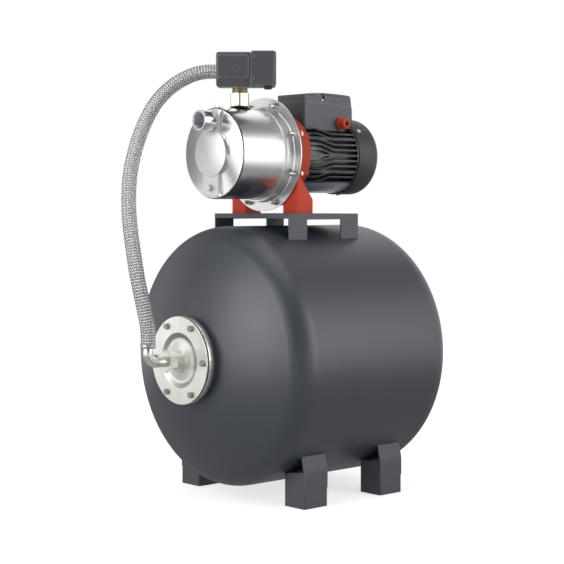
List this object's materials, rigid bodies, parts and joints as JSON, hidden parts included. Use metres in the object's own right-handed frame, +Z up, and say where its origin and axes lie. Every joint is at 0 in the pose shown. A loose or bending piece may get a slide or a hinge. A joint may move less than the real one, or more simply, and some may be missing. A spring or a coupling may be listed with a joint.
{
  "type": "booster pump set",
  "caption": "Horizontal pressure tank on box feet carrying a close-coupled jet pump with finned motor, pressure switch and braided hose to the tank.",
  "frame": {"origin": "on the floor, at the middle of the four bolt holes of the feet", "axes": "+X along the tank from the water flange to the air valve, +Z up"},
  "size_m": [0.5499, 0.41, 0.7009],
  "materials": {
    "tank_paint": "satin dark grey powder coat",
    "galvanised": "zinc-plated sheet steel",
    "zinc_bolts": "zinc-plated bolts, nuts and studs",
    "rubber": "black rubber",
    "brass": "turned brass",
    "stainless": "bright drawn stainless sheet",
    "nickel": "bright nickel-plated brass",
    "bracket_paint": "orange-red painted casting",
    "motor_paint": "black painted aluminium",
    "motor_plastic": "dark grey moulded plastic",
    "gland_plastic": "orange-red moulded plastic",
    "switch_plastic": "dark grey moulded plastic, satin",
    "white_plastic": "white moulded plastic",
    "pump_plastic": "black glass-filled plastic",
    "impeller_plastic": "tan moulded plastic",
    "ceramic": "pale seal ceramic",
    "copper": "enamelled copper wire",
    "steel": "ground steel",
    "braid": "braided stainless wire over rubber"
  },
  "bodies": {
    "root": {"tank_shell": "tank_paint", "tank_neck_ring": "galvanised", "tank_bladder": "rubber", "tank_flange": "galvanised", "flange_bolts": "zinc_bolts", "front_left_foot": "tank_paint", "front_right_foot": "tank_paint", "rear_left_foot": "tank_paint", "rear_right_foot": "tank_paint", "air_valve_stem": "brass", "pump_stand": "tank_paint", "stand_bolts": "zinc_bolts", "pump_casing": "stainless", "suction_pipe": "stainless", "outlet_socket": "stainless", "casing_studs": "zinc_bolts", "casing_o_ring": "rubber", "seal_plate": "stainless", "ejector": "pump_plastic", "diffuser": "pump_plastic", "seal_seat": "ceramic", "pump_bracket": "bracket_paint", "motor_housing": "motor_paint", "stator_core": "steel", "stator_windings": "copper", "front_bearing": "steel", "rear_bearing": "steel", "rear_endshield": "motor_paint", "tie_rods": "zinc_bolts", "fan_cover": "motor_plastic", "fan_cover_screws": "zinc_bolts", "terminal_box": "motor_plastic", "terminal_lid": "motor_plastic", "lid_screws": "zinc_bolts", "capacitor": "white_plastic", "terminal_block": "white_plastic", "cable_gland": "gland_plastic", "manifold": "brass", "switch_nipple": "brass", "switch_base": "switch_plastic", "switch_cover": "switch_plastic", "switch_cover_screw": "steel", "switch_frame": "galvanised", "switch_spring": "steel", "switch_grommet": "rubber", "hose_nut": "nickel", "hose": "braid", "hose_ferrules": "nickel", "hose_elbow": "nickel"},
    "rotor": {"motor_shaft": "steel", "rotor_core": "steel", "cooling_fan": "pump_plastic", "impeller": "impeller_plastic", "seal_head": "steel"},
    "priming_plug": {"priming_plug": "nickel"},
    "drain_plug": {"drain_plug": "nickel"},
    "air_valve_cap": {"air_valve_cap": "rubber"},
    "air_valve_pin": {"air_valve_pin": "steel"},
    "switch_plunger": {"switch_plunger": "white_plastic"},
    "switch_lever": {"switch_lever": "galvanised"}
  },
  "joints": [
    {"name": "rotor_spin", "type": "hinge", "parent": "root", "child": "rotor", "pos_m": [0, 0, 0.5446], "axis": [1, 0, 0], "continuous": true},
    {"name": "priming_plug_out", "type": "slide", "parent": "root", "child": "priming_plug", "axis": [0, 0, 1], "range_m": [0, 0.02]},
    {"name": "drain_plug_out", "type": "slide", "parent": "root", "child": "drain_plug", "axis": [-1, 0, 0], "range_m": [0, 0.02]},
    {"name": "air_valve_cap_off", "type": "slide", "parent": "root", "child": "air_valve_cap", "axis": [1, 0, 0], "range_m": [0, 0.02]},
    {"name": "air_valve_pin_press", "type": "slide", "parent": "root", "child": "air_valve_pin", "axis": [-1, 0, 0], "range_m": [0, 0.0015], "stiffness_N_per_m": 400},
    {"name": "switch_plunger_lift", "type": "slide", "parent": "root", "child": "switch_plunger", "axis": [-0.6723, -0.7403, 0], "range_m": [0, 0.001], "stiffness_N_per_m": 400},
    {"name": "switch_lever_swing", "type": "hinge", "parent": "root", "child": "switch_lever", "pos_m": [-0.11851, -0.0454, 0.674], "axis": [0, 0, 1], "range_deg": [0, 2.62]}
  ],
  "couplings": [
    {"joint": "switch_lever_swing", "follows": "switch_plunger_lift", "rad_per_m": 45.455}
  ]
}
